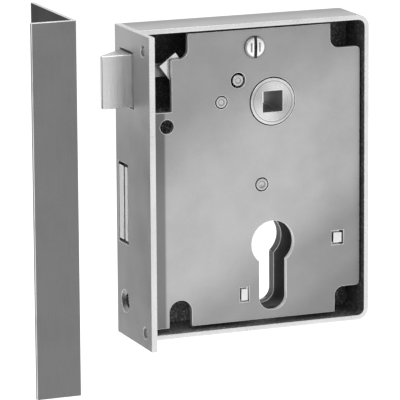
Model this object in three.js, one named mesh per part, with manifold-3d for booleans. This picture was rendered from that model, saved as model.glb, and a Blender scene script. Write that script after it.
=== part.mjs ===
// Mortise lock for a metal gate, with its angle strike. Millimetres, +Z up.
// Origin: the centre of the forend's outer face. +X runs into the gate, +Y towards the back of the case.
import * as THREE from "three";
import { mergeVertices } from "three/addons/utils/BufferGeometryUtils.js";
import Module from "manifold-3d";

const wasm = await Module();
wasm.setup();

// ---- Driving dimensions ----

const HEIGHT = 119; // forend and case
const CASE_END = 96; // from the forend's outer face to the case's far end
const CASE_DEPTH = 19.5; // rim to back
const FOREND_WIDTH = 36;
const FOREND_THICK = 2.3;
const WALL = 1.8; // case sheet
const CORNER_R = 4.5; // the case's far corners, outside

const COVER_THICK = 2;
const COVER_RECESS = 2.3; // rim to the cover's front
const COVER_GAP = { end: 1, top: 1, bottom: 1.8, forend: 0.2 };
const SIDE_PLAY = 0.3; // between a plate and the one it slides past
const PIN_PLAY = 0.15; // radial, round a pin

const BACKSET = 57;
const CENTRES = 55; // follower to cylinder
const FOLLOWER_Z = 28.5;
const HUB_R = 9;
const HUB_PLAY = 0.4;
const HUB_PROUD = 1.5; // behind the case
const SQUARE = 8;
const HANDLE_TURN = 46;

const CYLINDER_R = 8.7; // round part of the profile hole
const CYLINDER_SLOT = 11.1; // width of the hole's straight part
const CYLINDER_DROP = 26; // hole's centre to its lowest point
const CYLINDER_SCREW = 19.2; // hole's centre down to the fixing screw
const CAM_R = 15; // reach of a profile cylinder's cam

const LATCH = { reach: 12, bottom: 30.6, height: 20, thick: 12.4, front: -0.3, nose: 2 };
const LATCH_FLANGE = 2;
const LATCH_BEVEL = 11;
const FOREND_GAP = { side: 1.3, end: 0.8 };

const BOLT = { front: 6.4, thick: 8.6, bottom: -22.1, height: 28.5, length: 25 };
const BOLT_FRONT_PLATE = 2.6; // thickness of the bolt's front plate
const BOLT_CORE = 1.6; // middle plate of the bolt
const BOLT_CORE_STEP = 1.2; // how far the middle plate stands back in the face
const BOLT_GAP = { side: 0.8, end: 1.2 };
const BOLT_THROW = 20;

const LEVER_THICK = 1.6;
const LEVER_WIDTH = 8;
const LEVER_BOSS_R = 5.5;
const LEVER_TIP = { x: 15.45, z: 47.09 };
const LEVER_PIVOT = { x: BACKSET - 4.4, z: -3.3 };
const LEVER_BEND = { reach: 36.8, lean: 12.2, r: 2.7 }; // lean on top of the lever's own
const LEVER_NECK = { reach: 49, r: 3.2 };
const LEVER_HEEL = { forward: 3.5, r: 3, play: 0.6 };

const TAIL = { thick: 2.5, height: 5, centre: 9 };
const STUD_R = 1.8; // studs on the tail that the follower and the lever push
const STUD_PLAY = 0.4;
const ARM_REACH = 16; // follower's centre to the latch arm's round tip
const ARM_TIP_R = 2.6;
const RETURN_ARM = { reach: HUB_R + 5.5, angle: 25, front: 9.7, thick: 3.8, foot: 3, tipR: 3 };

const PIN_R = 2.6;
const THIN_PIN_R = 2.15;
const STAKE_R = 1.9; // a pin's end in the back of the case
const SCREW_POST_R = 3.2;
const SCREW = { x: 49.8, z: 49.8, headR: 4.25, headThick: 1.2, shankR: 1.9, length: 9, slot: 1.1 };
const STOP_PIN = { x: BACKSET - 20.8, z: 29.6, r: 2.4 };
const GUIDE_PIN_X = BACKSET - 14;
const GUIDE_PIN_HOLE_R = 3; // in the cover, wider than the pin

const TUMBLER = {
  x: BACKSET + 26,
  z: 8,
  thick: 1.6,
  reach: HUB_R + 28, // its tip stands clear of the hub
  bossR: 4.5,
  tipR: 3.3,
  stumpR: 1.8,
};

const STRIKE = { thick: 1.6, face: 17.4, depth: 46, height: 140.5, gap: 29.8, front: -23, bottom: -71.7 };
const STRIKE_SCREW = { r: 2.3, sinkR: 3.9, fromEnd: 9 };
const STRIKE_PLAY = 1.5; // round the latch and the bolt

// ---- Places worked out from them ----

const TOP = HEIGHT / 2;
const BACK = FOREND_WIDTH / 2;
const RIM = BACK - CASE_DEPTH;
const FLOOR = BACK - WALL; // inside face of the case's back
const COVER_FRONT = RIM + COVER_RECESS;
const COVER_BACK = COVER_FRONT + COVER_THICK;
const INNER_START = FOREND_THICK + WALL;
const CAM_Z = FOLLOWER_Z - CENTRES;
const LATCH_TOP = LATCH.bottom + LATCH.height;
const LATCH_BACK = LATCH.front + LATCH.thick;
const BOLT_TOP = BOLT.bottom + BOLT.height;
const BOLT_BACK = BOLT.front + BOLT.thick;
const BOLT_CORE_FRONT = BOLT.front + BOLT_FRONT_PLATE;
const BOLT_CORE_BACK = BOLT_CORE_FRONT + BOLT_CORE;
const TAIL_BOTTOM = LATCH.bottom + 9.3;
const TAIL_MIDDLE = TAIL_BOTTOM + TAIL.height / 2;
const GUIDE_PIN_Z = TAIL_BOTTOM - SIDE_PLAY - THIN_PIN_R;
const TAIL_FRONT = TAIL.centre - TAIL.thick / 2;
const TAIL_BACK = TAIL.centre + TAIL.thick / 2;
const ARM_FRONT = COVER_BACK + SIDE_PLAY + 0.2;
const ARM_BACK = TAIL_FRONT - SIDE_PLAY;
const LEVER_FRONT = COVER_BACK + SIDE_PLAY;
const LEVER_BACK = LEVER_FRONT + LEVER_THICK;
const ARM_HEIGHT = TAIL_MIDDLE - FOLLOWER_Z;
const LATCH_TRAVEL = 2 * ARM_HEIGHT * Math.tan(rad(HANDLE_TURN / 2));
const LEVER_SPAN = new THREE.Vector2(LEVER_PIVOT.x - LEVER_TIP.x, LEVER_TIP.z - LEVER_PIVOT.z);
const LEVER_REACH = LEVER_SPAN.length();
const LEVER_LEAN = (Math.atan2(LEVER_SPAN.x, LEVER_SPAN.y) * 180) / Math.PI; // degrees from upright
const SCREW_HOLE = { y: -11.3, z: TOP - 6, r: 1.8, sinkR: 2.3 };
const CYLINDER_SCREW_HOLE = { y: 9.6, z: CAM_Z - CYLINDER_SCREW, r: 2.9, sinkR: 4.35 };
const STRIKE_X = -STRIKE.gap;

const ROUND = 28; // facets of a full circle

// ---- Shapes ----

function rad(degrees) {
  return (degrees * Math.PI) / 180;
}

function solid(geometry) {
  const bare = geometry.clone();
  bare.deleteAttribute("normal");
  bare.deleteAttribute("uv");
  const merged = mergeVertices(bare, 1e-4);
  const vertProperties = merged.attributes.position.array;
  const triVerts = new Uint32Array(merged.index.array);
  return new wasm.Manifold(new wasm.Mesh({ numProp: 3, vertProperties, triVerts }));
}

function block(x0, x1, y0, y1, z0, z1) {
  const geometry = new THREE.BoxGeometry(x1 - x0, y1 - y0, z1 - z0);
  return solid(geometry.translate((x0 + x1) / 2, (y0 + y1) / 2, (z0 + z1) / 2));
}

// A round bar along Y, such as a pin through the case.
function barY(x, z, r, y0, y1, facets = ROUND) {
  const geometry = new THREE.CylinderGeometry(r, r, y1 - y0, facets);
  return solid(geometry.translate(x, (y0 + y1) / 2, z));
}

// A round or tapered bar along X, r0 at x0 and r1 at x1.
function barX(y, z, r0, r1, x0, x1, facets = ROUND) {
  const geometry = new THREE.CylinderGeometry(r1, r0, x1 - x0, facets).rotateZ(-Math.PI / 2);
  return solid(geometry.translate((x0 + x1) / 2, y, z));
}

// A closed outline through corners [u, v, radius], each rounded with a true arc.
function outline(corners) {
  const shape = new THREE.Shape();
  corners.forEach(([u, v, r = 0], i) => {
    const corner = new THREE.Vector2(u, v);
    if (r === 0) {
      if (i === 0) shape.moveTo(u, v);
      else shape.lineTo(u, v);
      return;
    }
    const back = new THREE.Vector2(...corners.at(i - 1)).sub(corner).normalize();
    const ahead = new THREE.Vector2(...corners[(i + 1) % corners.length]).sub(corner).normalize();
    const half = Math.acos(back.dot(ahead)) / 2;
    const middle = back.clone().add(ahead).normalize().multiplyScalar(r / Math.sin(half)).add(corner);
    const start = back.clone().multiplyScalar(r / Math.tan(half)).add(corner).sub(middle);
    const end = ahead.clone().multiplyScalar(r / Math.tan(half)).add(corner).sub(middle);
    const clockwise = back.cross(ahead) > 0;
    if (i > 0) shape.lineTo(middle.x + start.x, middle.y + start.y);
    shape.absarc(middle.x, middle.y, r, start.angle(), end.angle(), clockwise);
  });
  return shape;
}

// The outline of a bar with two round ends: ra round a, rb round b.
function link(a, ra, b, rb) {
  const way = Math.atan2(b.z - a.z, b.x - a.x);
  const side = Math.acos((ra - rb) / Math.hypot(b.x - a.x, b.z - a.z));
  const shape = new THREE.Shape();
  shape.absarc(b.x, b.z, rb, way - side, way + side, false);
  shape.absarc(a.x, a.z, ra, way + side, way - side + 2 * Math.PI, false);
  return shape;
}

// A plate whose outline lies in X and Z, from y0 to y1.
function plateY(shape, y0, y1) {
  const geometry = new THREE.ExtrudeGeometry(shape, {
    depth: y1 - y0,
    bevelEnabled: false,
    curveSegments: 5,
  });
  return solid(geometry.rotateX(Math.PI / 2).translate(0, y1, 0));
}

// A plate whose outline lies in X and Y, from z0 to z1.
function plateZ(shape, z0, z1) {
  const geometry = new THREE.ExtrudeGeometry(shape, {
    depth: z1 - z0,
    bevelEnabled: false,
    curveSegments: 5,
  });
  return solid(geometry.translate(0, 0, z0));
}

// The through hole of a profile cylinder, round above and straight below.
function profileHole(y0, y1) {
  const half = CYLINDER_SLOT / 2;
  const low = CAM_Z - CYLINDER_DROP;
  const slot = outline([
    [BACKSET - half, CAM_Z],
    [BACKSET - half, low, half - 0.5],
    [BACKSET + half, low, half - 0.5],
    [BACKSET + half, CAM_Z],
  ]);
  return barY(BACKSET, CAM_Z, CYLINDER_R, y0, y1, 40).add(plateY(slot, y0, y1));
}

class Helix extends THREE.Curve {
  constructor(radius, length, turns) {
    super();
    Object.assign(this, { radius, length, turns });
  }

  getPoint(t, target = new THREE.Vector3()) {
    const turn = t * this.turns * 2 * Math.PI;
    const x = this.radius * Math.cos(turn);
    const y = this.radius * Math.sin(turn);
    return target.set(x, y, t * this.length);
  }
}

// A compression spring along Z from the origin, length measured over the wire.
function spring(radius, wire, length, turns) {
  const section = new THREE.Shape();
  section.absarc(0, 0, wire / 2, 0, 2 * Math.PI, false);
  return new THREE.ExtrudeGeometry(section, {
    steps: turns * 10,
    curveSegments: 3,
    bevelEnabled: false,
    extrudePath: new Helix(radius, length - wire, turns),
  }).translate(0, 0, wire / 2);
}

// ---- Materials and the part itself ----

const FINISH = {
  forend: { color: 0x8e8f91, roughness: 0.45, metalness: 0.85 },
  zinc: { color: 0xb9babc, roughness: 0.35, metalness: 0.9 },
  cover: { color: 0xa7a8aa, roughness: 0.42, metalness: 0.85 },
  bright: { color: 0xd9d9da, roughness: 0.25, metalness: 0.95 },
  dark: { color: 0x55565a, roughness: 0.55, metalness: 0.8 },
  spring: { color: 0x9a9ca0, roughness: 0.3, metalness: 0.95 },
  strike: { color: 0x7d7e80, roughness: 0.5, metalness: 0.85 },
};

const lock = new THREE.Group();

function addGeometry(name, geometry, finish) {
  const mesh = new THREE.Mesh(geometry, new THREE.MeshStandardMaterial(FINISH[finish]));
  mesh.name = name;
  lock.add(mesh);
}

function addSolid(name, body, finish) {
  const { vertProperties, triVerts, numProp } = body.getMesh();
  const geometry = new THREE.BufferGeometry();
  geometry.setAttribute("position", new THREE.BufferAttribute(new Float32Array(vertProperties), numProp));
  geometry.setIndex(new THREE.BufferAttribute(new Uint32Array(triVerts), 1));
  geometry.computeVertexNormals();
  addGeometry(name, geometry, finish);
}

// ---- Forend, case and cover ----

function latchOpening(x0, x1) {
  const front = LATCH.front - FOREND_GAP.side;
  const back = LATCH_BACK + FOREND_GAP.side;
  return block(x0, x1, front, back, LATCH.bottom - FOREND_GAP.end, LATCH_TOP + FOREND_GAP.end);
}

function boltOpening(x0, x1) {
  const front = BOLT.front - BOLT_GAP.side;
  const back = BOLT_BACK + BOLT_GAP.side;
  return block(x0, x1, front, back, BOLT.bottom - BOLT_GAP.end, BOLT_TOP + BOLT_GAP.end);
}

function forend() {
  let plate = block(0, FOREND_THICK, -BACK, BACK, -TOP, TOP);
  plate = plate.subtract(latchOpening(-1, FOREND_THICK + 1));
  plate = plate.subtract(boltOpening(-1, FOREND_THICK + 1));
  const holes = [
    { ...SCREW_HOLE },
    { ...SCREW_HOLE, z: -SCREW_HOLE.z },
    CYLINDER_SCREW_HOLE,
  ];
  for (const { y, z, r, sinkR } of holes) {
    plate = plate.subtract(barX(y, z, r, r, -1, FOREND_THICK + 1));
    plate = plate.subtract(barX(y, z, sinkR + 0.5, r, -0.5, sinkR - r));
  }
  return plate;
}

function caseOutline(inset, start) {
  const end = CASE_END - inset;
  const top = TOP - inset;
  const r = CORNER_R - inset;
  return outline([
    [start, -top],
    [end, -top, r],
    [end, top, r],
    [start, top],
  ]);
}

// A pressed tray: back, top, bottom and far end, with a lower wall behind the forend.
function caseTray() {
  let tray = plateY(caseOutline(0, FOREND_THICK), RIM, BACK);
  tray = tray.subtract(plateY(caseOutline(WALL, INNER_START), RIM - 1, FLOOR));
  const inner = TOP - WALL;
  const mouth = COVER_BACK + 0.2;
  tray = tray.subtract(block(FOREND_THICK - 1, INNER_START + 1, RIM - 1, mouth, -inner, inner));
  tray = tray.subtract(latchOpening(FOREND_THICK - 1, INNER_START + 1));
  tray = tray.subtract(boltOpening(FOREND_THICK - 1, INNER_START + 1));
  const { y, z, r } = CYLINDER_SCREW_HOLE;
  tray = tray.subtract(barX(y, z, r, r, FOREND_THICK - 1, INNER_START + 1));
  tray = tray.subtract(barY(BACKSET, FOLLOWER_Z, HUB_R + HUB_PLAY, FLOOR - 1, BACK + 1, 40));
  tray = tray.subtract(profileHole(FLOOR - 1, BACK + 1));
  for (const pin of PINS) {
    tray = tray.subtract(barY(pin.x, pin.z, STAKE_R + PIN_PLAY, FLOOR - 1, BACK + 1));
  }
  return tray;
}

const WINDOW = { narrow: 16.1, wide: 22.7, bottom: 27.3, step: LATCH_TOP - 3.4 };
const NOTCH_R = 3.6;
const U_NOTCH = { left: 14.5, right: 23.7, tall: 10.4, r: 4.55 };
const LOW_NOTCH = { wide: 10.4, tall: 9.8 };
const HIGH_NOTCH_WIDE = 12.3;
const SPARE_HOLE = { x: 14.1, z: 21.8, r: 2.75 };

function coverPlate() {
  const left = FOREND_THICK + COVER_GAP.forend;
  const right = CASE_END - WALL - COVER_GAP.end;
  const low = -TOP + WALL + COVER_GAP.bottom;
  const high = TOP - WALL - COVER_GAP.top;
  const shape = outline([
    [left, low],
    [U_NOTCH.left, low],
    [U_NOTCH.left, low + U_NOTCH.tall, U_NOTCH.r],
    [U_NOTCH.right, low + U_NOTCH.tall, U_NOTCH.r],
    [U_NOTCH.right, low],
    [right - LOW_NOTCH.wide, low],
    [right - LOW_NOTCH.wide, low + LOW_NOTCH.tall, NOTCH_R],
    [right, low + LOW_NOTCH.tall, 1.5],
    [right, WINDOW.step, 1.5],
    [right - HIGH_NOTCH_WIDE, WINDOW.step, NOTCH_R],
    [right - HIGH_NOTCH_WIDE, high],
    [WINDOW.wide, high],
    [WINDOW.wide, WINDOW.step, NOTCH_R],
    [WINDOW.narrow, WINDOW.step, 0.5],
    [WINDOW.narrow, WINDOW.bottom],
    [left, WINDOW.bottom],
  ]);
  let plate = plateY(shape, COVER_FRONT, COVER_BACK);
  plate = plate.subtract(profileHole(COVER_FRONT - 1, COVER_BACK + 1));
  const holes = [
    { x: BACKSET, z: FOLLOWER_Z, r: HUB_R + HUB_PLAY, facets: 40 },
    { x: SCREW.x, z: SCREW.z, r: SCREW.shankR + 0.3 },
    { x: GUIDE_PIN_X, z: GUIDE_PIN_Z, r: GUIDE_PIN_HOLE_R },
    { ...STOP_PIN, r: STOP_PIN.r + PIN_PLAY },
    { ...LEVER_PIVOT, r: PIN_R + PIN_PLAY },
    SPARE_HOLE,
  ];
  for (const { x, z, r, facets } of holes) {
    plate = plate.subtract(barY(x, z, r, COVER_FRONT - 1, COVER_BACK + 1, facets));
  }
  for (const { x, z, wide, high: tall, play } of TABS) {
    const w = wide / 2 + play;
    const h = tall / 2 + play;
    plate = plate.subtract(block(x - w, x + w, COVER_FRONT - 1, COVER_BACK + 1, z - h, z + h));
  }
  return plate;
}

// ---- Pins, posts and brackets fixed to the back of the case ----

const PINS = [
  { name: "latch_guide_pin", x: GUIDE_PIN_X, z: GUIDE_PIN_Z, r: THIN_PIN_R, front: COVER_FRONT },
  { name: "lever_stop_pin", ...STOP_PIN, front: COVER_FRONT },
  { name: "lever_pivot_pin", ...LEVER_PIVOT, r: PIN_R, front: COVER_FRONT },
  { name: "tumbler_pin", x: TUMBLER.x, z: TUMBLER.z, r: PIN_R, front: COVER_BACK + SIDE_PLAY },
];

const TABS = [
  {
    name: "cylinder_screw_guide",
    x: BACKSET - 11.7,
    z: CYLINDER_SCREW_HOLE.z,
    wide: 2.6,
    high: 4.5,
    play: 0.6,
    foot: 11,
  },
  { name: "case_spacer", x: CASE_END - 12, z: CAM_Z - 0.2, wide: 3.4, high: 3.9, play: 0.8, foot: 9 },
];

function pin({ x, z, r, front }) {
  return barY(x, z, r, front, FLOOR).add(barY(x, z, STAKE_R, FLOOR - 1, BACK + 0.4));
}

// An upright plate between the case's back and the cover, with a tab staked in the cover.
function tabbedSpacer({ x, z, wide, high, foot }) {
  const upright = block(x - wide / 2, x + wide / 2, COVER_BACK, FLOOR, z - foot / 2, z + foot / 2);
  return upright.add(block(x - wide / 2, x + wide / 2, COVER_FRONT, FLOOR, z - high / 2, z + high / 2));
}

function screwPost() {
  const { x, z, shankR, length } = SCREW;
  const bore = barY(x, z, shankR + PIN_PLAY, COVER_BACK - 1, COVER_FRONT + length + 1);
  return barY(x, z, SCREW_POST_R, COVER_BACK, FLOOR).subtract(bore);
}

function coverScrew() {
  const { x, z, headR, headThick, shankR, length, slot } = SCREW;
  const head = barY(x, z, headR, COVER_FRONT - headThick, COVER_FRONT);
  const shank = barY(x, z, shankR, COVER_FRONT - headThick / 2, COVER_FRONT + length);
  const [open, floor] = [COVER_FRONT - 2 * headThick, COVER_FRONT - 0.4];
  const cut = block(x - slot / 2, x + slot / 2, open, floor, z - 9, z + 9);
  return head.add(shank).subtract(cut);
}

// A thick plate round the cylinder hole that stiffens the back of the case.
const BACKING = {
  thick: 2.8,
  left: BACKSET - 19,
  right: BACKSET + 19,
  bottom: CAM_Z - 28.5,
  top: CAM_Z + 18,
};

function cylinderPlate() {
  const { thick, left, right, bottom, top } = BACKING;
  const shape = outline([
    [left, bottom, 3],
    [right, bottom, 3],
    [right, top, 3],
    [left, top, 3],
  ]);
  const hole = profileHole(FLOOR - thick - 1, FLOOR + 1);
  const plate = plateY(shape, FLOOR - thick, FLOOR).subtract(hole);
  const guide = TABS[0];
  const w = guide.wide / 2 + PIN_PLAY;
  const h = guide.foot / 2 + PIN_PLAY;
  return plate.subtract(block(guide.x - w, guide.x + w, 0, BACK, guide.z - h, guide.z + h));
}

// ---- Latch ----

function latchHead() {
  const { reach, bottom, front, nose } = LATCH;
  const rear = INNER_START + SIDE_PLAY + LATCH_FLANGE;
  const shape = outline([
    [-reach, front, 0.6],
    [WINDOW.narrow - LATCH_TRAVEL - SIDE_PLAY, front],
    [WINDOW.narrow - LATCH_TRAVEL - SIDE_PLAY, COVER_BACK + SIDE_PLAY],
    [rear, COVER_BACK + SIDE_PLAY],
    [rear, LATCH_BACK],
    [LATCH_BEVEL - reach, LATCH_BACK],
    [-reach, front + nose, 0.6],
  ]);
  const inside = COVER_BACK + SIDE_PLAY;
  const flange = block(rear - LATCH_FLANGE, rear, inside, LATCH_BACK, bottom - 2, LATCH_TOP + 2);
  return plateZ(shape, bottom, LATCH_TOP).add(flange);
}

const SPRING_SHOULDER = BACKSET + 7; // where the tail's shoulder carries the latch spring

function latchTail() {
  const start = INNER_START + SIDE_PLAY + LATCH_FLANGE;
  const top = TAIL_BOTTOM + TAIL.height;
  const foot = block(start, start + 1.6, COVER_BACK + 2.2, LATCH_BACK, TAIL_BOTTOM - 4, top + 4);
  const bar = block(start, SPRING_SHOULDER, TAIL_FRONT, TAIL_BACK, TAIL_BOTTOM, top);
  const size = new THREE.BoxGeometry(1.5, 8, 8);
  const shoulder = solid(size.translate(SPRING_SHOULDER - 0.75, TAIL.centre, TAIL_MIDDLE));
  const stub = barX(TAIL.centre, TAIL_MIDDLE, 2.4, 2.4, SPRING_SHOULDER - 1, SPRING_SHOULDER + 4.5, 16);
  const armStud = barY(armStudX(), TAIL_MIDDLE, STUD_R, ARM_FRONT, TAIL_BACK, 20);
  const leverStud = barY(leverStudX(), TAIL_MIDDLE, STUD_R, LEVER_FRONT, TAIL_BACK, 20);
  return [foot, shoulder, stub, armStud, leverStud].reduce((all, piece) => all.add(piece), bar);
}

// Where a stud on the tail clears the right edge of a bar that leans left from its pivot.
function studBeside(pivot, lean, halfWidth) {
  const reach = (halfWidth + STUD_R) / Math.cos(rad(lean));
  return pivot.x - (TAIL_MIDDLE - pivot.z) * Math.tan(rad(lean)) + reach + STUD_PLAY;
}

function armStudX() {
  return studBeside({ x: BACKSET, z: FOLLOWER_Z }, HANDLE_TURN / 2, ARM_TIP_R);
}

function leverStudX() {
  return studBeside(LEVER_PIVOT, LEVER_LEAN, LEVER_WIDTH / 2);
}

const LATCH_SPRING = { radius: 3.5, wire: 0.9, turns: 9 };

function latchSpring() {
  const { radius, wire, turns } = LATCH_SPRING;
  const length = CASE_END - WALL - SPRING_SHOULDER - 0.2;
  const geometry = spring(radius, wire, length, turns).rotateY(Math.PI / 2);
  return geometry.translate(SPRING_SHOULDER + 0.1, TAIL.centre, TAIL_MIDDLE);
}

// A stud on the case's end wall that keeps the latch spring in line.
function springStud() {
  const wall = CASE_END - WALL;
  return barX(TAIL.centre, TAIL_MIDDLE, 2.2, 2.5, wall - 4, wall, 16);
}

// ---- Follower, the part the handle's square spindle turns ----

function follower() {
  const centre = { x: BACKSET, z: FOLLOWER_Z };
  const at = (angle, reach) => ({
    x: centre.x + reach * Math.sin(rad(angle)),
    z: centre.z + reach * Math.cos(rad(angle)),
  });
  const hub = barY(centre.x, centre.z, HUB_R, COVER_FRONT - 0.4, BACK + HUB_PROUD, 40);
  const armTip = at(-HANDLE_TURN / 2, ARM_REACH);
  const arm = plateY(link(centre, ARM_TIP_R, armTip, ARM_TIP_R), ARM_FRONT, ARM_BACK);
  const { reach, angle, front, thick, foot, tipR } = RETURN_ARM;
  const returnTip = at(90 - angle, reach);
  const footTip = { x: returnTip.x, z: returnTip.z - foot };
  const returnArm = plateY(link(centre, tipR, returnTip, tipR), front, front + thick);
  const footPlate = plateY(link(returnTip, tipR, footTip, tipR), front, front + thick);
  const half = SQUARE / 2;
  const [low, high] = [centre.z - half, centre.z + half];
  const square = block(centre.x - half, centre.x + half, COVER_FRONT - 9, BACK + 9, low, high);
  return hub.add(arm).add(returnArm).add(footPlate).subtract(square);
}

const RETURN_SPRING = { radius: 2.9, wire: 0.7, turns: 7, seatTop: 10, seatThick: 1.5 };

function returnSpring() {
  const { radius, wire, turns, seatTop } = RETURN_SPRING;
  const { x, y } = returnSpringAxis();
  const { reach, angle, foot, tipR } = RETURN_ARM;
  const footBottom = FOLLOWER_Z + reach * Math.sin(rad(angle)) - foot - tipR;
  return spring(radius, wire, footBottom - seatTop - 0.4, turns).translate(x, y, seatTop + 0.1);
}

function returnSpringAxis() {
  const x = BACKSET + RETURN_ARM.reach * Math.cos(rad(RETURN_ARM.angle));
  return { x, y: RETURN_ARM.front + RETURN_ARM.thick / 2 };
}

function returnSpringSeat() {
  const { radius, wire, seatTop, seatThick } = RETURN_SPRING;
  const { x, y } = returnSpringAxis();
  const half = radius + wire;
  return block(x - half, x + half, y - half, FLOOR, seatTop - seatThick, seatTop);
}

// ---- Changeover lever: the cylinder's cam draws the latch back through it ----

function changeoverLever() {
  const { x, z } = LEVER_PIVOT;
  const along = (reach, lean) => ({
    x: x - reach * Math.sin(rad(lean)),
    z: z + reach * Math.cos(rad(lean)),
  });
  const bend = along(LEVER_BEND.reach, LEVER_LEAN + LEVER_BEND.lean);
  const neck = along(LEVER_NECK.reach, LEVER_LEAN);
  const heelEnd = { x: x + LEVER_HEEL.forward, z: CAM_Z + CYLINDER_R + LEVER_HEEL.r + LEVER_HEEL.play };
  const plate = (a, ra, b, rb) => plateY(link(a, ra, b, rb), LEVER_FRONT, LEVER_BACK);
  const half = LEVER_WIDTH / 2;
  const headStart = LEVER_NECK.reach - 2.5;
  const head = block(-half, half, LEVER_FRONT, LEVER_BACK, headStart, LEVER_REACH);
  const body = barY(x, z, LEVER_BOSS_R, LEVER_FRONT, LEVER_BACK)
    .add(plate(LEVER_PIVOT, 4, bend, LEVER_BEND.r))
    .add(plate(bend, LEVER_BEND.r, neck, LEVER_NECK.r))
    .add(head.rotate(0, -LEVER_LEAN, 0).translate(x, 0, z))
    .add(plate(LEVER_PIVOT, 4, heelEnd, LEVER_HEEL.r));
  return body.subtract(barY(x, z, PIN_R + PIN_PLAY, LEVER_FRONT - 1, LEVER_BACK + 1));
}

// ---- Deadbolt: a three-plate head on a slotted tail ----

function boltPlate(y0, y1, start) {
  return block(start, BOLT.length, y0, y1, BOLT.bottom, BOLT_TOP);
}

const CAM_NOTCH = { wide: 11, lug: 7 };
const BOLT_TAIL = { bottom: CAM_Z + CAM_R + 1, top: 5, end: BACKSET + 23, lugBottom: CAM_Z + 10.5 };
const DETENT = { wide: 4.4, deep: 3 }; // the notches in the tail's top edge

function boltTail() {
  const { bottom, top, end, lugBottom } = BOLT_TAIL;
  let tail = boltPlate(BOLT_CORE_FRONT, BOLT_CORE_BACK, BOLT_CORE_STEP);
  const middle = BACKSET + BOLT_THROW / 2;
  const layer = (x0, x1, z0, z1) => block(x0, x1, BOLT_CORE_FRONT, BOLT_CORE_BACK, z0, z1);
  tail = tail.add(layer(BOLT.length - 1, end, bottom, top));
  for (const side of [-1, 1]) {
    const near = middle + (side * CAM_NOTCH.wide) / 2;
    const far = near + side * CAM_NOTCH.lug;
    tail = tail.add(layer(Math.min(near, far), Math.max(near, far), lugBottom, bottom + 1));
  }
  const slotR = PIN_R + 0.25;
  const slotEnd = { x: LEVER_PIVOT.x + BOLT_THROW, z: LEVER_PIVOT.z };
  const slot = link(LEVER_PIVOT, slotR, slotEnd, slotR);
  tail = tail.subtract(plateY(slot, BOLT_CORE_FRONT - 1, BOLT_CORE_BACK + 1));
  const stumpX = TUMBLER.x - TUMBLER.reach;
  for (const x of [stumpX, stumpX + BOLT_THROW]) {
    tail = tail.subtract(layer(x - DETENT.wide / 2, x + DETENT.wide / 2, top - DETENT.deep, top + 1));
  }
  return tail;
}

// ---- Tumbler: a sprung lever whose stump drops into the bolt tail's notches ----

const TUMBLER_FRONT = LEVER_BACK + 1.6;
const TUMBLER_BACK = TUMBLER_FRONT + TUMBLER.thick;

function tumbler() {
  const { x, z, reach, bossR, tipR, stumpR } = TUMBLER;
  const tip = { x: x - reach, z };
  const [left, right, low] = [BACKSET + 0.4, BACKSET + 11, CAM_Z + CAM_R - 2.1];
  const belly = outline([
    [left, z],
    [left, low, 2],
    [right, low, 2],
    [right, z],
  ]);
  const plate = plateY(link(TUMBLER, bossR, tip, tipR), TUMBLER_FRONT, TUMBLER_BACK);
  const stumpZ = BOLT_TAIL.top + SIDE_PLAY + stumpR;
  const stump = barY(tip.x, stumpZ, stumpR, TUMBLER_BACK - 0.5, BOLT_CORE_BACK, 16);
  const bore = barY(x, z, PIN_R + PIN_PLAY, TUMBLER_FRONT - 1, TUMBLER_BACK + 1);
  return plate.add(plateY(belly, TUMBLER_FRONT, TUMBLER_BACK)).add(stump).subtract(bore);
}

const TUMBLER_SPRING = { radius: 1.7, wire: 0.6, turns: 5, length: 9 };

function tumblerSpring() {
  const { radius, wire, turns, length } = TUMBLER_SPRING;
  const foot = TUMBLER.z + TUMBLER.tipR + 0.2;
  const y = (TUMBLER_FRONT + TUMBLER_BACK) / 2;
  return spring(radius, wire, length, turns).translate(TUMBLER.x - TUMBLER.reach, y, foot);
}

function tumblerSpringSeat() {
  const low = TUMBLER.z + TUMBLER.tipR + 0.3 + TUMBLER_SPRING.length;
  const x = TUMBLER.x - TUMBLER.reach;
  return block(x - 3, x + 3, LEVER_BACK + 0.4, FLOOR, low, low + 1.5);
}

// ---- Angle strike for the gate post ----

function strikeAngle() {
  const { thick, face, depth, height, front, bottom } = STRIKE;
  const shape = outline([
    [STRIKE_X - face, front],
    [STRIKE_X, front, 1],
    [STRIKE_X, front + depth],
    [STRIKE_X - thick, front + depth],
    [STRIKE_X - thick, front + thick, 0.5],
    [STRIKE_X - face, front + thick],
  ]);
  let angle = plateZ(shape, bottom, bottom + height);
  const cut = (y0, y1, z0, z1) => {
    const p = STRIKE_PLAY;
    angle = angle.subtract(block(STRIKE_X - thick - 1, STRIKE_X + 1, y0 - p, y1 + p, z0 - p, z1 + p));
  };
  cut(LATCH.front, LATCH_BACK, LATCH.bottom, LATCH_TOP);
  cut(BOLT.front, BOLT_BACK, BOLT.bottom, BOLT_TOP);
  const { r, sinkR, fromEnd } = STRIKE_SCREW;
  const y = BOLT.front + BOLT.thick / 2;
  for (const z of [bottom + fromEnd, bottom + height - fromEnd]) {
    angle = angle.subtract(barX(y, z, r, r, STRIKE_X - thick - 1, STRIKE_X + 1));
    angle = angle.subtract(barX(y, z, r, sinkR, STRIKE_X - thick + 0.3, STRIKE_X + 0.3));
  }
  return angle;
}

// ---- The lock put together ----

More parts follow.
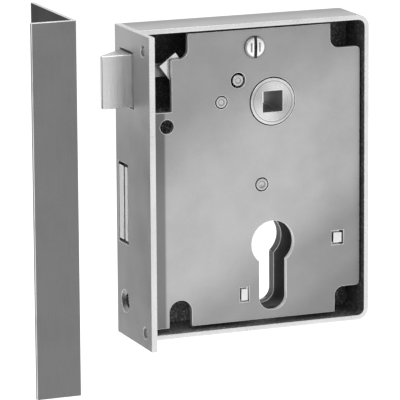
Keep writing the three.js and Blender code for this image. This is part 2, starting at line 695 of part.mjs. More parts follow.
addSolid("forend", forend(), "forend");
addSolid("case_tray", caseTray(), "zinc");
addSolid("cover_plate", coverPlate(), "cover");
addSolid("cover_screw", coverScrew(), "bright");
addSolid("cover_screw_post", screwPost(), "zinc");
for (const one of PINS) addSolid(one.name, pin(one), "bright");
for (const one of TABS) addSolid(one.name, tabbedSpacer(one), "bright");
addSolid("cylinder_plate", cylinderPlate(), "dark");
addSolid("latch_head", latchHead(), "bright");
addSolid("latch_tail", latchTail(), "zinc");
addGeometry("latch_spring", latchSpring(), "spring");
addSolid("latch_spring_stud", springStud(), "zinc");
addSolid("follower", follower(), "bright");
addGeometry("follower_spring", returnSpring(), "spring");
addSolid("follower_spring_seat", returnSpringSeat(), "zinc");
addSolid("changeover_lever", changeoverLever(), "bright");
addSolid("bolt_front_plate", boltPlate(BOLT.front, BOLT_CORE_FRONT, 0), "bright");
addSolid("bolt_back_plate", boltPlate(BOLT_CORE_BACK, BOLT_BACK, 0), "bright");
addSolid("bolt_tail", boltTail(), "zinc");
addSolid("tumbler", tumbler(), "zinc");
addGeometry("tumbler_spring", tumblerSpring(), "spring");
addSolid("tumbler_spring_seat", tumblerSpringSeat(), "zinc");
addSolid("strike_angle", strikeAngle(), "strike");

export default lock;
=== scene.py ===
"""Mortise lock with its angle strike: the visual model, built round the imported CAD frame.

Metres, +Z up. Piece functions take millimetres.
"""

import math

import bmesh
import bpy
from mathutils import Matrix, Vector


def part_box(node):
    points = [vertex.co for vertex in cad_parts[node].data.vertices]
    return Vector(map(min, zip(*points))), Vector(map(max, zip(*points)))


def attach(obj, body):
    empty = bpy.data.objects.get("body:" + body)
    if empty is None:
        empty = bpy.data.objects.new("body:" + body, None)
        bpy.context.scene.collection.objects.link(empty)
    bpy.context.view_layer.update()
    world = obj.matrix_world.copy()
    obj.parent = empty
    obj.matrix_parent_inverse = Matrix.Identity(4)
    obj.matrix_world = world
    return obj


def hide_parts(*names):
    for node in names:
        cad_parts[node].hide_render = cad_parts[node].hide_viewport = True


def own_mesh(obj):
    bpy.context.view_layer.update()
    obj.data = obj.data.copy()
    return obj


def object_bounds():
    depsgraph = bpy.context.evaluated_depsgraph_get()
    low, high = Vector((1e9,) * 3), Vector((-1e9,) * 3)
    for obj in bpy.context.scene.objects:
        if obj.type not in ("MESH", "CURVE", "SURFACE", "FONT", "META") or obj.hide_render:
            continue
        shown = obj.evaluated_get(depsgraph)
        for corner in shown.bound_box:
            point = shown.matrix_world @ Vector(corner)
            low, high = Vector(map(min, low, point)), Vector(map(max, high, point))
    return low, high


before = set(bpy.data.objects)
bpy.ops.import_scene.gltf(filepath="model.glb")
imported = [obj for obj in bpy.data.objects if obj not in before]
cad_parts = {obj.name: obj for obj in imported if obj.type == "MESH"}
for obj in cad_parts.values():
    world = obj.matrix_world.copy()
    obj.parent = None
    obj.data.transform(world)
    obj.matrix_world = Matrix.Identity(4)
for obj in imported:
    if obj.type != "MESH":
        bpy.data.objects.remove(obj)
CAD_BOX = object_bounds()
MM = 0.001
SHARP_ANGLE = math.radians(38)  # edges sharper than this keep their crease when shaded
MERGE_DISTANCE = 2e-6


# ---- Camera, light and floor ----

CAMERA_AIM = (26.9, 0.0, -7.0)
CAMERA_AZIMUTH = 21.74  # degrees to the left of straight on
CAMERA_ELEVATION = 12.03
CAMERA_DISTANCE = 1393.0
CAMERA_LENS = 332.3
CAMERA_ROLL = -0.39
SENSOR_WIDTH = 36

WORLD_STRENGTH = 0.85
LIGHT_AIM = (0.03, 0, 0)
LIGHTS = (  # name, place in metres, size in metres, watts
    ("key", (-0.5, -0.9, 0.7), (0.6, 0.6), 2.5),
    ("top", (0.1, 0.1, 1.0), (0.9, 0.6), 4),
    ("right", (1.0, -0.5, 0.2), (0.4, 0.8), 1.5),
)
FLOOR_SIZE = 8
FLOOR_DROP = 0.06  # below the lowest CAD point
FLOOR_COLOUR = (0.95, 0.95, 0.95, 1)


def make_camera():
    a = math.radians(CAMERA_AZIMUTH)
    e = math.radians(CAMERA_ELEVATION)
    aim = Vector(CAMERA_AIM) * MM
    away = Vector((-math.sin(a) * math.cos(e), -math.cos(a) * math.cos(e), math.sin(e)))
    data = bpy.data.cameras.new("camera")
    data.lens = CAMERA_LENS
    data.sensor_width = SENSOR_WIDTH
    data.clip_start = 0.05
    data.clip_end = 50
    camera = bpy.data.objects.new("camera", data)
    camera.location = aim + away * CAMERA_DISTANCE * MM
    camera.rotation_mode = "QUATERNION"
    look = (-away).to_track_quat("-Z", "Y")
    roll = Matrix.Rotation(math.radians(CAMERA_ROLL), 3, "Z").to_quaternion()
    camera.rotation_quaternion = look @ roll
    bpy.context.scene.collection.objects.link(camera)
    bpy.context.scene.camera = camera


def area_light(name, place, aim, size, watts):
    data = bpy.data.lights.new(name, "AREA")
    data.shape = "RECTANGLE"
    data.size, data.size_y = size
    data.energy = watts
    light = bpy.data.objects.new(name, data)
    light.location = place
    light.rotation_mode = "QUATERNION"
    light.rotation_quaternion = (Vector(aim) - Vector(place)).to_track_quat("-Z", "Y")
    bpy.context.scene.collection.objects.link(light)


def make_studio():
    scene = bpy.context.scene
    scene.view_settings.view_transform = "Standard"
    world = bpy.data.worlds.new("studio")
    scene.world = world
    world.use_nodes = True
    background = world.node_tree.nodes["Background"]
    background.inputs["Color"].default_value = (1, 1, 1, 1)
    background.inputs["Strength"].default_value = WORLD_STRENGTH
    for name, place, size, watts in LIGHTS:
        area_light(name, place, LIGHT_AIM, size, watts)

    bpy.ops.mesh.primitive_plane_add(size=FLOOR_SIZE, location=(0, 0, CAD_BOX[0][2] - FLOOR_DROP))
    floor = bpy.context.object
    floor.name = "floor"
    material = bpy.data.materials.new("floor")
    material.use_nodes = True
    shader = material.node_tree.nodes["Principled BSDF"]
    shader.inputs["Base Color"].default_value = FLOOR_COLOUR
    shader.inputs["Roughness"].default_value = 0.8
    shader.inputs["Emission Color"].default_value = (1, 1, 1, 1)
    shader.inputs["Emission Strength"].default_value = 0.2
    floor.data.materials.append(material)


make_camera()
make_studio()


# ---- Materials ----


def grey(value):
    return (value, value, value, 1)


class Nodes:
    """Short calls for building one material's node tree."""

    def __init__(self, name):
        self.material = bpy.data.materials.new(name)
        self.material.use_nodes = True
        self.tree = self.material.node_tree
        self.shader = self.tree.nodes["Principled BSDF"]
        self.place = self.tree.nodes.new("ShaderNodeTexCoord").outputs["Object"]

    def link(self, value, socket):
        if isinstance(value, bpy.types.NodeSocket):
            self.tree.links.new(value, socket)
        else:
            socket.default_value = value

    def noise(self, scale, detail=4.0, rough=0.55, shift=(0, 0, 0)):
        mapping = self.tree.nodes.new("ShaderNodeMapping")
        mapping.inputs["Scale"].default_value = scale
        mapping.inputs["Location"].default_value = shift
        self.tree.links.new(self.place, mapping.inputs["Vector"])
        node = self.tree.nodes.new("ShaderNodeTexNoise")
        node.inputs["Scale"].default_value = 1.0
        node.inputs["Detail"].default_value = detail
        node.inputs["Roughness"].default_value = rough
        self.tree.links.new(mapping.outputs["Vector"], node.inputs["Vector"])
        return node.outputs["Fac"]

    def math(self, operation, a, b=0.0, c=0.0, clamp=False):
        node = self.tree.nodes.new("ShaderNodeMath")
        node.operation = operation
        node.use_clamp = clamp
        for value, socket in zip((a, b, c), node.inputs):
            self.link(value, socket)
        return node.outputs[0]

    def ramp(self, value, low, high, out_low=0.0, out_high=1.0):
        node = self.tree.nodes.new("ShaderNodeMapRange")
        node.interpolation_type = "SMOOTHSTEP"
        ends = {"From Min": low, "From Max": high, "To Min": out_low, "To Max": out_high}
        for name, number in ends.items():
            node.inputs[name].default_value = number
        self.link(value, node.inputs["Value"])
        return node.outputs["Result"]

    def mix(self, factor, a, b):
        node = self.tree.nodes.new("ShaderNodeMix")
        node.data_type = "RGBA"
        self.link(factor, node.inputs[0])
        self.link(a, node.inputs[6])
        self.link(b, node.inputs[7])
        return node.outputs[2]

    def scaled(self, colour, factor):
        node = self.tree.nodes.new("ShaderNodeVectorMath")
        node.operation = "SCALE"
        self.link(colour[:3], node.inputs[0])
        self.link(factor, node.inputs["Scale"])
        return node.outputs[0]

    def length(self, a, b):
        squares = self.math("ADD", self.math("MULTIPLY", a, a), self.math("MULTIPLY", b, b))
        return self.math("SQRT", squares)

    def axis(self, name):
        node = self.tree.nodes.new("ShaderNodeSeparateXYZ")
        self.tree.links.new(self.place, node.inputs[0])
        return node.outputs[name]

    def attribute(self, name):
        node = self.tree.nodes.new("ShaderNodeAttribute")
        node.attribute_name = name
        return node.outputs["Fac"]

    def bump(self, height, strength, distance):
        node = self.tree.nodes.new("ShaderNodeBump")
        node.inputs["Strength"].default_value = strength
        node.inputs["Distance"].default_value = distance
        self.link(height, node.inputs["Height"])
        self.tree.links.new(node.outputs["Normal"], self.shader.inputs["Normal"])


RELIEF_DEPTH = 0.00004


def metal(
    name,
    tone,
    roughness,
    grain,
    edge_tone,
    metallic=0.9,
    brush=0.12,
    shade=None,
    height=None,
    relief_strength=0.2,
):
    """Metal with a directional grain, cloudy colour, fine pits and brighter edges, partly wear and
    partly painted highlight; shade paints light and shade into the colour.
    """
    n = Nodes(name)
    lines = n.noise(grain, detail=5)
    cloud = n.noise((70, 70, 70), detail=3, shift=(3, 5, 1))
    pits = n.noise((2600, 2600, 2600), detail=2)
    brushed = n.ramp(lines, 0.3, 0.7, -brush, brush)
    clouded = n.ramp(cloud, 0.3, 0.7, -0.06, 0.06)
    pitted = n.ramp(pits, 0.3, 0.75, 0.03, -0.05)
    spread = n.math("ADD", n.math("ADD", brushed, clouded), pitted)
    factor = n.math("ADD", spread, 1.0)
    if shade:
        factor = n.math("MULTIPLY", factor, shade(n))
    body = n.scaled(grey(tone), factor)
    # brighter edges in patches: partly wear, partly painted highlight
    edge_wear_and_highlight = n.math("MULTIPLY", n.attribute("edge"), n.ramp(cloud, 0.25, 0.6, 0.55, 1.0))
    n.link(n.mix(edge_wear_and_highlight, body, grey(edge_tone)), n.shader.inputs["Base Color"])
    n.shader.inputs["Metallic"].default_value = metallic
    rough_lines = n.ramp(lines, 0.3, 0.7, -0.06, 0.06)
    rough_cloud = n.ramp(cloud, 0.3, 0.7, -0.05, 0.05)
    rough = n.math("ADD", n.math("ADD", rough_lines, rough_cloud), roughness, clamp=True)
    n.link(n.math("MULTIPLY_ADD", edge_wear_and_highlight, -0.12, rough), n.shader.inputs["Roughness"])
    relief = n.math("ADD", n.math("MULTIPLY", lines, 0.7), n.math("MULTIPLY", pits, 0.3))
    if height:
        relief = n.math("ADD", relief, height(n))
    n.bump(relief, relief_strength, RELIEF_DEPTH)
    return n.material


# Noise scales per metre along X, Y and Z: a low one draws the grain out along that axis.
UPRIGHT = (3500, 3500, 90)
ALONG = (90, 3500, 3500)
FINE = (1500, 1500, 1500)
SMOOTH_UPRIGHT = (2200, 2200, 60)
HUB_AXIS = (57 * MM, 28.5 * MM)
SPARE_HOLE_FLOOR = (23 * MM, 17 * MM)  # where the small open hole looks on the case's back; a pool of painted light is centred here
SCREW_AXIS = tuple(sum(corner[i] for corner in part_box("cover_screw")) / 2 for i in (0, 2))

BAND_MIDDLE = (55 * MM, -3 * MM)  # a point on the cover's broad painted highlight band
BAND_SLOPE = math.radians(30)


LOW_HIGHLIGHT = 1.18  # how much brighter the second, lower painted highlight band is


def cover_shade(n):
    """Painted light and shade: the cover is darker along the forend, as painted shade, and one
    broad painted highlight band crosses it on a slant.
    """
    near = n.ramp(n.axis("X"), 12.6 * MM, 13.8 * MM, 0.45, 1.0)
    dx = n.math("SUBTRACT", n.axis("X"), BAND_MIDDLE[0])
    dz = n.math("SUBTRACT", n.axis("Z"), BAND_MIDDLE[1])
    across = n.math("MULTIPLY", dx, -math.sin(BAND_SLOPE))
    up = n.math("MULTIPLY", dz, math.cos(BAND_SLOPE))
    off = n.math("ADD", across, up)
    below = n.ramp(off, -40 * MM, -12 * MM, 0.57, 1.0)
    above = n.ramp(off, 12 * MM, 45 * MM, 1.0, 0.69)
    rise = n.ramp(off, -52 * MM, -43 * MM, 1.0, LOW_HIGHLIGHT)
    low_highlight = n.math("MULTIPLY", rise, n.ramp(off, -38 * MM, -30 * MM, 1.0, 1 / LOW_HIGHLIGHT))
    right = n.ramp(n.axis("X"), 60 * MM, 88 * MM, 1.0, 0.88)
    total = near
    for part in (below, above, low_highlight, right):
        total = n.math("MULTIPLY", total, part)
    return total


def forend_shade(n):
    """Painted reflection: lighter towards the top."""
    return n.ramp(n.axis("Z"), 10 * MM, 45 * MM, 1.0, 1.75)


def latch_shade(n):
    """Painted light at the nose, painted shade at the forend."""
    return n.ramp(n.axis("X"), -12 * MM, 0.0, 1.15, 0.95)


def top_shade(n):
    """Painted shade: darker towards the back edge."""
    return n.ramp(n.axis("Y"), 2 * MM, 17 * MM, 1.1, 0.75)


def inside_shade(n):
    """Painted light and shade inside the case: random speckles of painted glint; painted shade
    behind the window, where it is darkest.
    """
    spots = n.ramp(n.noise((1300, 700, 1300), detail=6, rough=0.75), 0.48, 0.72, 1.0, 5.0)
    high = n.ramp(n.axis("Z"), 24 * MM, 27 * MM)
    window = n.math("MULTIPLY", high, n.ramp(n.axis("X"), 40 * MM, 60 * MM, 1.0, 0.0))
    lit = n.math("MULTIPLY", spots, n.math("MULTIPLY_ADD", window, -4.2, 5.0))
    dx = n.math("SUBTRACT", n.axis("X"), SPARE_HOLE_FLOOR[0])
    dz = n.math("SUBTRACT", n.axis("Z"), SPARE_HOLE_FLOOR[1])
    off = n.length(dx, dz)
    # painted light round the spare hole's floor
    lit = n.math("MULTIPLY", lit, n.ramp(off, 3 * MM, 16 * MM, 1.5, 1.0))
    # painted light towards the left
    lit = n.math("MULTIPLY", lit, n.ramp(n.axis("X"), 30 * MM, 45 * MM, 1.7, 1.0))
    # painted shade at the right-hand gap
    return n.math("MULTIPLY", lit, n.ramp(n.axis("X"), 88 * MM, 93 * MM, 1.0, 0.55))


def from_axis(n):
    """The distance from the follower's axis, and the angle round it."""
    x = n.math("SUBTRACT", n.axis("X"), HUB_AXIS[0])
    z = n.math("SUBTRACT", n.axis("Z"), HUB_AXIS[1])
    return n.length(x, z), n.math("ARCTAN2", z, x)


RING_PITCH = 0.45 * MM


def rings(n):
    """Turning marks round the follower's axis."""
    reach, _ = from_axis(n)
    wave = n.math("SINE", n.math("MULTIPLY", reach, 2 * math.pi / RING_PITCH))
    return n.math("MULTIPLY", wave, 0.35)


def hub_shade(n):
    """A painted highlight: the fan of light a turned face throws, with a fine line near its rim."""
    reach, angle = from_axis(n)
    fan = n.math("SINE", n.math("MULTIPLY_ADD", angle, 2.0, -0.6))
    fan = n.math("MULTIPLY_ADD", fan, 0.22, 1.0)
    line_begins = n.ramp(reach, 7.6 * MM, 7.8 * MM)
    line_ends = n.ramp(reach, 7.9 * MM, 8.1 * MM, 1.0, 0.0)
    line = n.math("MULTIPLY", line_begins, line_ends)
    wave = n.math("SINE", n.math("MULTIPLY", reach, 2 * math.pi / (2 * RING_PITCH)))
    fan = n.math("ADD", fan, n.math("MULTIPLY", wave, 0.08))
    return n.math("MULTIPLY", fan, n.math("MULTIPLY_ADD", line, -0.45, 1.0))


def screw_shade(n):
    """Painted reflections: each half of the crowned head gets a dark strip beside the slot, and
    painted shade darkens its rim.
    """
    dx = n.math("ABSOLUTE", n.math("SUBTRACT", n.axis("X"), SCREW_AXIS[0]))
    dz = n.math("SUBTRACT", n.axis("Z"), SCREW_AXIS[1])
    begins = n.ramp(dx, 1.2 * MM, 1.5 * MM)
    ends = n.ramp(dx, 1.8 * MM, 2.2 * MM, 1.0, 0.0)
    middle = n.ramp(n.math("ABSOLUTE", dz), 1.4 * MM, 2.2 * MM, 1.0, 0.0)
    strip = n.math("MULTIPLY", n.math("MULTIPLY", begins, ends), middle)
    rim = n.ramp(n.length(dx, dz), 3.3 * MM, 3.7 * MM, 1.0, 0.35)
    return n.math("MULTIPLY", rim, n.math("MULTIPLY_ADD", strip, -0.75, 1.0))


FORENDS = metal("forend_satin", 0.205, 0.42, UPRIGHT, 0.6, brush=0.05, shade=forend_shade)
ZINC = metal("zinc_outside", 0.42, 0.38, ALONG, 0.85, brush=0.16, shade=top_shade)
ZINC_END = metal("zinc_far_end", 0.42, 0.38, UPRIGHT, 0.85, brush=0.12, shade=top_shade)
CUT = metal("cut_edge", 0.6, 0.35, FINE, 0.7, metallic=0.6, brush=0.03)
COVER = metal("cover_satin", 0.42, 0.4, FINE, 0.8, brush=0.03, shade=cover_shade)
# near-black sheet as painted shade inside the case and on the cover's back, with painted light and
# shade from inside_shade
INSIDE = metal("case_inside", 0.02, 0.6, FINE, 0.06, metallic=0.4, brush=0.5, shade=inside_shade)
BRIGHT = metal("bright_steel", 0.45, 0.28, FINE, 0.8, brush=0.06, relief_strength=0.06)
BOLT = metal("bolt_steel", 0.45, 0.32, SMOOTH_UPRIGHT, 0.8, brush=0.06, relief_strength=0.1)
POLISHED = metal("polished_steel", 0.62, 0.22, FINE, 0.9, brush=0.06)
HEAD = metal("screw_head", 0.75, 0.25, FINE, 0.5, brush=0.05, shade=screw_shade)
# near-black painted shade in the screw's slot and round the rims of the lever and tumbler pins
PAINTED_SHADE = metal("painted_shade", 0.05, 0.5, FINE, 0.06, brush=0.3)
# darker on the slope of the staked recess: painted shade
GROOVE = metal("staked_groove", 0.24, 0.4, FINE, 0.35, brush=0.1)
TURNED = metal("turned_steel", 0.5, 0.3, FINE, 0.7, brush=0.05, shade=hub_shade, height=rings)
# dark steel; in the follower's square socket it is painted shade
DARK_STEEL = metal("dark_steel", 0.17, 0.6, FINE, 0.17, metallic=0.5, brush=0.2)
# painted shade on the hole walls, with painted highlights on their rounded edges
BORE = metal("bore_wall", 0.07, 0.5, FINE, 0.75, metallic=0.7, brush=0.15)
LATCH = metal(
    "latch_satin",
    0.56,
    0.36,
    SMOOTH_UPRIGHT,
    0.9,
    brush=0.04,
    shade=latch_shade,
    relief_strength=0.1,
)
LATCH_TOP = metal("latch_top", 0.62, 0.4, ALONG, 0.85, brush=0.06)
INNER = metal("inner_zinc", 0.25, 0.42, ALONG, 0.75, brush=0.15)
WIRE = metal("spring_wire", 0.35, 0.25, FINE, 0.5)
STRIKE = metal("strike_satin", 0.17, 0.5, UPRIGHT, 0.75, brush=0.06)
SHADED = metal("strike_inside", 0.025, 0.6, UPRIGHT, 0.06, brush=0.3)
SINK = metal("countersink_cone", 0.3, 0.3, FINE, 0.6, brush=0.1)


# ---- Pieces refined from the CAD solids ----


def merged(node):
    """The node's solid as one bmesh with shared corners."""
    bm = bmesh.new()
    bm.from_mesh(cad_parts[node].data)
    bmesh.ops.remove_doubles(bm, verts=bm.verts, dist=MERGE_DISTANCE)
    return bm


def rounded(bm, width, segments, angle=32):
    """Every sharp edge rounded; the new faces are marked as edge, for wear and a painted highlight.
    """
    edge = bm.faces.layers.float.new("edge")
    limit = math.radians(angle)
    edges = [e for e in bm.edges if len(e.link_faces) == 2 and e.calc_face_angle(0) > limit]
    result = bmesh.ops.bevel(
        bm,
        geom=edges,
        offset=width * MM,
        segments=segments,
        profile=0.5,
        affect="EDGES",
        clamp_overlap=False,
    )
    for face in result["faces"]:
        face[edge] = 1.0


def finish_piece(bm, name, body, node, choose):
    """choose(centre, normal) in millimetres gives each face's material."""
    mesh = bpy.data.meshes.new(name)
    materials = []
    for face in bm.faces:
        face.smooth = True
        material = choose(face.calc_center_median() / MM, face.normal)
        if material not in materials:
            materials.append(material)
        face.material_index = materials.index(material)
    bm.to_mesh(mesh)
    bm.free()
    for material in materials:
        mesh.materials.append(material)
    mesh.set_sharp_from_angle(angle=SHARP_ANGLE)
    piece = bpy.data.objects.new(name, mesh)
    bpy.context.scene.collection.objects.link(piece)
    even = piece.modifiers.new("even_normals", "WEIGHTED_NORMAL")
    even.weight = 100
    even.keep_sharp = True
    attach(piece, body)
    if node:
        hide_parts(node)
    return piece


def refined(node, name, body, width, choose, segments=2):
    """The CAD solid itself, with its sharp edges rounded by width."""
    bm = merged(node)
    rounded(bm, width, segments)
    finish_piece(bm, name, body, node, chooser(choose))


def flat_loops(node, axis):
    """The closed outlines of a plate's face on the low side of an axis."""
    bm = merged(node)
    low = min(v.co[axis] for v in bm.verts)
    faces = {f for f in bm.faces if abs(f.calc_center_median()[axis] - low) < MERGE_DISTANCE}
    links = {}
    for edge in bm.edges:
        if sum(f in faces for f in edge.link_faces) == 1:
            a, b = edge.verts
            links.setdefault(a, []).append(b)
            links.setdefault(b, []).append(a)
    loops = []
    left = set(links)
    while left:
        start = left.pop()
        loop, before, here = [start], None, start
        while True:
            after = next(v for v in links[here] if v is not before)
            if after is start:
                break
            loop.append(after)
            left.discard(after)
            before, here = here, after
        loops.append([v.co.copy() for v in loop])
    bm.free()
    return loops


# How a flat outline's own x, y and z lie in the frame, for a plate across each axis.
PLATE_TURN = {
    0: Matrix(((0, 0, 1), (1, 0, 0), (0, 1, 0))),
    1: Matrix(((1, 0, 0), (0, 0, -1), (0, 1, 0))),
}


def applied_mesh(piece):
    """The piece's mesh with its modifiers applied, or its curve filled."""
    bpy.context.view_layer.update()
    graph = bpy.context.evaluated_depsgraph_get()
    return bpy.data.meshes.new_from_object(piece.evaluated_get(graph))


def curve_mesh(curve, name):
    holder = bpy.data.objects.new(name, curve)
    bpy.context.scene.collection.objects.link(holder)
    mesh = applied_mesh(holder)
    bpy.data.objects.remove(holder)
    return mesh


def plate_mesh(node, axis, name, width):
    """A plate rebuilt from its outlines, with every edge rounded by width."""
    low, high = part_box(node)
    turn = PLATE_TURN[axis]
    curve = bpy.data.curves.new(name, "CURVE")
    curve.dimensions = "2D"
    curve.fill_mode = "BOTH"
    curve.extrude = (high[axis] - low[axis]) / 2 - width * MM
    curve.bevel_depth = width * MM
    curve.bevel_resolution = 2
    curve.offset = -width * MM
    for loop in flat_loops(node, axis):
        spline = curve.splines.new("POLY")
        spline.points.add(len(loop) - 1)
        spline.use_cyclic_u = True
        for point, corner in zip(spline.points, loop):
            flat = turn.transposed() @ corner
            point.co = (flat.x, flat.y, 0, 1)
    mesh = curve_mesh(curve, name)
    bm = bmesh.new()
    bm.from_mesh(mesh)
    bpy.data.meshes.remove(mesh)
    bmesh.ops.remove_doubles(bm, verts=bm.verts, dist=1e-6)
    middle = Vector((0, 0, 0))
    middle[axis] = (low[axis] + high[axis]) / 2
    bmesh.ops.transform(bm, matrix=Matrix.Translation(middle) @ turn.to_4x4(), verts=bm.verts)
    bm.normal_update()
    # slanted rim faces are marked as edge, for wear and a painted highlight
    edge = bm.faces.layers.float.new("edge")
    for face in bm.faces:
        face[edge] = 1.0 if 0.15 < abs(face.normal[axis]) < 0.97 else 0.0
    return bm


def plate(node, axis, name, body, width, choose):
    finish_piece(plate_mesh(node, axis, name, width), name, body, node, chooser(choose))


def chooser(choose):
    return choose if callable(choose) else lambda centre, normal: choose


def lathe(profile, axis, centre, segments=64):
    """A turned solid from profile points (radius, along), closed on itself or on the axis."""
    bm = bmesh.new()
    turn = PLATE_TURN[axis]
    if axis == 1:
        profile = [(radius, -along) for radius, along in profile]
    circles = []
    for radius, along in profile:
        count = 1 if radius == 0 else segments
        circle = []
        for i in range(count):
            angle = 2 * math.pi * i / segments
            local = Vector((radius * math.cos(angle), radius * math.sin(angle), along))
            circle.append(bm.verts.new((turn @ local + Vector(centre)) * MM))
        circles.append(circle)
    pairs = list(zip(circles, circles[1:]))
    if profile[0][0] > 0:
        pairs.append((circles[-1], circles[0]))
    for a, b in pairs:
        for i in range(segments):
            j = i + 1
            corners = [a[i % len(a)], a[j % len(a)], b[j % len(b)], b[i % len(b)]]
            unique = list(dict.fromkeys(corners))
            if len(unique) > 2:
                bm.faces.new(unique)
    bmesh.ops.recalc_face_normals(bm, faces=bm.faces)
    bm.faces.layers.float.new("edge")
    return bm


def size_of(node):
    low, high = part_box(node)
    return low / MM, high / MM


FOREND_LOW, FOREND_HIGH = size_of("forend")
TRAY_LOW, TRAY_HIGH = size_of("case_tray")
COVER_LOW, COVER_HIGH = size_of("cover_plate")
STRIKE_LOW, STRIKE_HIGH = size_of("strike_angle")
SHEET = 1.8  # the case's wall
EDGE_WIDTH = 0.2  # rounding of the sheet edges
HOLE_MARGIN = 8  # the holes in the case's back are at least this far inside its outline
SOCKET_REACH = 4.2  # just past the flats of the 8 mm square


def forend_faces(centre, normal):
    outline = abs(normal.x) < 0.5 and max(abs(centre.y), abs(centre.z)) > FOREND_HIGH.y - EDGE_WIDTH
    return CUT if outline else FORENDS


def tray_faces(centre, normal):
    if centre.y < TRAY_LOW.y + 0.4 and normal.y < -0.3:
        return CUT
    deep = SHEET - EDGE_WIDTH
    inside = (
        FOREND_HIGH.x + deep < centre.x < TRAY_HIGH.x - deep
        and abs(centre.z) < TRAY_HIGH.z - deep
        and centre.y < TRAY_HIGH.y - deep
    )
    if inside:
        return INSIDE
    hole = (
        centre.y > TRAY_HIGH.y - deep
        and abs(normal.y) < 0.5
        and TRAY_LOW.z + HOLE_MARGIN < centre.z < TRAY_HIGH.z - HOLE_MARGIN
        and FOREND_HIGH.x + HOLE_MARGIN < centre.x < TRAY_HIGH.x - HOLE_MARGIN
    )
    # hole walls: painted shade, with painted highlights on their edges
    if hole:
        return BORE
    return ZINC_END if normal.x > 0.7 else ZINC


def backing_faces(centre, normal):
    return BORE if abs(normal.y) < 0.5 else INNER


def latch_faces(centre, normal):
    return LATCH_TOP if abs(normal.z) > 0.8 else LATCH


def cover_faces(centre, normal):
    if normal.y > 0.7:
        return INSIDE
    return CUT if abs(normal.y) < 0.5 else COVER


def strike_faces(centre, normal):
    if abs(normal.z) > 0.7:
        return CUT
    if normal.x < -0.5 and centre.x > STRIKE_LOW.x + 1:
        return SHADED
    if normal.y > 0.5 and centre.y < STRIKE_HIGH.y - 1:
        return SHADED
    return STRIKE


def follower_faces(centre, normal):
    x, z = centre.x - HUB_AXIS[0] / MM, centre.z - HUB_AXIS[1] / MM
    # the walls of the square socket get dark steel as painted shade
    in_square = max(abs(x), abs(z)) < SOCKET_REACH and abs(normal.y) < 0.5
    return DARK_STEEL if in_square else TURNED


def countersink(name, y, z, wide, narrow, deep):
    """The cone of one screw hole, a ring whose outer part lies inside the forend plate."""
    low, high = FOREND_LOW.x, FOREND_HIGH.x
    profile = [
        (wide - 0.1, low + 0.08),
        (wide - 0.03, low + 0.2),
        (wide - 0.03, high - 0.05),
        (narrow, high - 0.05),
        (narrow, low + deep),
    ]
    finish_piece(lathe(profile, 0, (0, y, z)), name, "case", None, chooser(SINK))


PIN_NECK = 1.9  # radius of the pin's thinner back end
PIN_NECK_LENGTH = 2.2
SHANK = 1.9
THREAD_ROOT = 1.6
THREAD_PITCH = 0.7
THREAD_TURNS = 6
CROWN_RISE = 0.66
CROWN_ANGLES = (0, 0.35, 0.7, 1.05, 1.3)
SLOT_WIDTH = 1.2
SLOT_DEPTH = 0.8


def round_piece(node):
    """The ends of a round piece's box, and its middle and radius across Y."""
    low, high = size_of(node)
    return low, high, (low.x + high.x) / 2, (low.z + high.z) / 2, (high.x - low.x) / 2


def staked_pin(node, name, rim):
    """A pin whose end is upset into a ring, with a shallow middle."""
    low, high, x, z, r = round_piece(node)
    front, back = low.y, high.y
    neck = back - PIN_NECK_LENGTH
    profile = [
        (0, front + 0.28),
        (r * 0.4, front + 0.28),
        (r * 0.5, front + 0.08),
        (r * 0.56, front),
        (r * 0.8, front),
        (r * 0.86, front + 0.06),
        (r * 0.96, front + 0.16),
        (r, front + 0.3),
        (r, neck),
        (PIN_NECK, neck),
        (PIN_NECK, back - 0.25),
        (PIN_NECK - 0.3, back),
        (0, back),
    ]

    def faces(centre, normal):
        reach = math.hypot(centre.x - x, centre.z - z)
        if reach > r * 0.84:
            return rim
        return GROOVE if r * 0.38 < reach < r * 0.58 else BRIGHT

    finish_piece(lathe(profile, 1, (x, 0, z)), name, "case", node, faces)


def slotted_screw():
    """A cheese-head screw with a crowned, slotted head."""
    low, high, x, z, r = round_piece("cover_screw")
    under = COVER_LOW.y
    profile = [(r * math.sin(a), low.y + CROWN_RISE * (1 - math.cos(a))) for a in CROWN_ANGLES]
    profile += [(r, under - 0.35), (r, under), (SHANK, under)]
    for turn in range(THREAD_TURNS):
        start = under + 2.4 + turn * THREAD_PITCH
        profile += [(SHANK, start), (THREAD_ROOT, start + THREAD_PITCH / 2)]
    profile += [(1.75, high.y - 0.3), (1.5, high.y), (0, high.y)]
    bm = lathe(profile, 1, (x, 0, z))
    piece = finish_piece(bm, "slotted_screw", "case", "cover_screw", chooser(HEAD))
    slot = bmesh.new()
    bmesh.ops.create_cube(slot, size=1)
    size = Matrix.Diagonal((SLOT_WIDTH * MM, 2 * SLOT_DEPTH * MM, 12 * MM, 1))
    place = Matrix.Translation(Vector((x, low.y, z)) * MM)
    bmesh.ops.transform(slot, matrix=place @ size, verts=slot.verts)
    mesh = bpy.data.meshes.new("slot_cutter")
    slot.to_mesh(mesh)
    slot.free()
    cutter = bpy.data.objects.new("slot_cutter", mesh)
    bpy.context.scene.collection.objects.link(cutter)
    cut = piece.modifiers.new("slot", "BOOLEAN")
    cut.object = cutter
    cut.operation = "DIFFERENCE"
    cut.solver = "EXACT"
    done = applied_mesh(piece)
    piece.modifiers.clear()
    piece.data = done
    bpy.data.objects.remove(cutter)
    done.materials.append(PAINTED_SHADE)
    # the slot's walls and floor get painted shade
    for polygon in done.polygons:
        centre = polygon.center / MM
        between = abs(centre.x - x) < SLOT_WIDTH / 2 + 0.03 and centre.y < under
        wall = between and abs(polygon.normal.y) < 0.9
        slot_floor = abs(centre.y - low.y - SLOT_DEPTH) < 0.02
        if wall or slot_floor:
            polygon.material_index = len(done.materials) - 1
    done.set_sharp_from_angle(angle=SHARP_ANGLE)


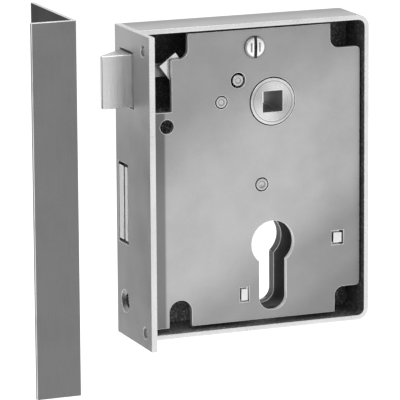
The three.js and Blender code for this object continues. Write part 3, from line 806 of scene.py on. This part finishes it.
plate("forend", 0, "forend_plate", "case", 0.2, forend_faces)
SCREW_Y = -11.3
SCREW_TO_END = 6
for side, label in ((1, "top"), (-1, "bottom")):
    height = side * (FOREND_HIGH.z - SCREW_TO_END)
    countersink("countersink_" + label, SCREW_Y, height, wide=2.8, narrow=1.8, deep=0.5)
countersink("countersink_cylinder", 9.6, -45.7, wide=4.85, narrow=2.9, deep=1.45)
refined("case_tray", "pressed_case", "case", 0.2, tray_faces)
plate("cover_plate", 1, "cover", "case", 0.16, cover_faces)
slotted_screw()
refined("cover_screw_post", "screw_post", "case", 0.2, INNER)
staked_pin("latch_guide_pin", "latch_guide_pin_staked", BRIGHT)
# the rims of these pins get painted shade
for pin in ("lever_stop_pin", "lever_pivot_pin", "tumbler_pin"):
    staked_pin(pin, pin + "_staked", PAINTED_SHADE)
for tab in ("cylinder_screw_guide", "case_spacer"):
    refined(tab, tab + "_tab", "case", 0.15, POLISHED)
plate("cylinder_plate", 1, "cylinder_backing", "case", 0.2, backing_faces)
refined("latch_head", "latch_bolt", "latch", 0.35, latch_faces, segments=3)
refined("latch_tail", "latch_bar", "latch", 0.15, INNER)
refined("latch_spring_stud", "spring_stud", "case", 0.2, INNER)
refined("follower", "follower_nut", "follower", 0.25, follower_faces, segments=3)
refined("follower_spring_seat", "follower_seat", "case", 0.15, INNER)
plate("changeover_lever", 1, "lever_plate", "lever", 0.15, POLISHED)
refined("bolt_front_plate", "bolt_front", "bolt", 0.3, BOLT)
refined("bolt_back_plate", "bolt_back", "bolt", 0.3, BOLT)
refined("bolt_tail", "bolt_slide", "bolt", 0.12, DARK_STEEL)
refined("tumbler", "tumbler_plate", "tumbler", 0.15, INNER)
refined("tumbler_spring_seat", "tumbler_seat", "case", 0.15, INNER)
refined("strike_angle", "strike_plate", "strike", 0.2, strike_faces)


# ---- Springs ----


CLOSED_TURNS = 0.75  # the turns that lie flat at each end
STEPS_PER_TURN = 24


def spring(name, node, axis, wire, turns, fixed_high):
    """A closed-end compression spring in its node's box."""
    low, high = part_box(node)
    middle = (low + high) / 2
    span = high - low
    along = "xyz".index(axis)
    across = [i for i in range(3) if i != along]
    radius = min(span[i] for i in across) / 2 - wire * MM / 2
    length = span[along] - wire * MM
    curve = bpy.data.curves.new(name, "CURVE")
    curve.dimensions = "3D"
    curve.bevel_depth = wire * MM / 2
    curve.bevel_resolution = 3
    curve.use_fill_caps = True
    total = turns + 2 * CLOSED_TURNS
    steps = int(total * STEPS_PER_TURN)
    line = curve.splines.new("POLY")
    line.points.add(steps)
    for i in range(steps + 1):
        turn = total * i / steps
        share = min(max((turn - CLOSED_TURNS) / turns, 0.0), 1.0)
        first = min(turn, CLOSED_TURNS) / CLOSED_TURNS - 1
        last = max(turn - total + CLOSED_TURNS, 0) / CLOSED_TURNS
        end_lift = wire * MM * (first + last)
        place = middle.copy()
        place[along] = low[along] + wire * MM * 1.5 + share * (length - 2 * wire * MM) + end_lift
        place[across[0]] += radius * math.cos(2 * math.pi * turn)
        place[across[1]] += radius * math.sin(2 * math.pi * turn)
        line.points[i].co = (*place, 1)
    mesh = curve_mesh(curve, name)
    mesh.name = name
    mesh.materials.clear()
    mesh.materials.append(WIRE)
    for polygon in mesh.polygons:
        polygon.use_smooth = True
    piece = bpy.data.objects.new(name, mesh)
    bpy.context.scene.collection.objects.link(piece)
    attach(piece, "case")
    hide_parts(node)
    anchor = middle.copy()
    anchor[along] = high[along] if fixed_high else low[along]
    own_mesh(piece)


spring("latch_coil", "latch_spring", "x", 0.9, 9, True)
spring("follower_coil", "follower_spring", "z", 0.7, 7, False)
spring("tumbler_coil", "tumbler_spring", "z", 0.6, 5, True)
